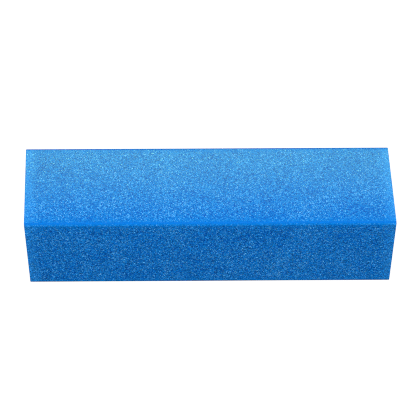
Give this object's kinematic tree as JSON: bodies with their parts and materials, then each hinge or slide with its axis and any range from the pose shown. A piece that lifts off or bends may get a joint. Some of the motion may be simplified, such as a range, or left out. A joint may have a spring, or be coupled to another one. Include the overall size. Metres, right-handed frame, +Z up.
{
  "type": "nail buffer block",
  "caption": "Rectangular foam hand block for smoothing nails, with a coated abrasive sheet bonded to each long face, flush-cut foam ends and eased long edges.",
  "frame": {"origin": "middle of the face that the block rests on", "axes": "+X along the block's length, -Y out of the front face, +Z up out of the top face"},
  "size_m": [0.0956, 0.0254, 0.0254],
  "materials": {
    "foam": "matte",
    "adhesive": "satin",
    "backing": "matte",
    "grit": "matte"
  },
  "bodies": {
    "root": {"foam_core": "foam", "top_adhesive_film": "adhesive", "top_backing_sheet": "backing", "top_grit_coat": "grit", "bottom_adhesive_film": "adhesive", "bottom_backing_sheet": "backing", "bottom_grit_coat": "grit", "front_adhesive_film": "adhesive", "front_backing_sheet": "backing", "front_grit_coat": "grit", "back_adhesive_film": "adhesive", "back_backing_sheet": "backing", "back_grit_coat": "grit"}
  },
  "joints": []
}
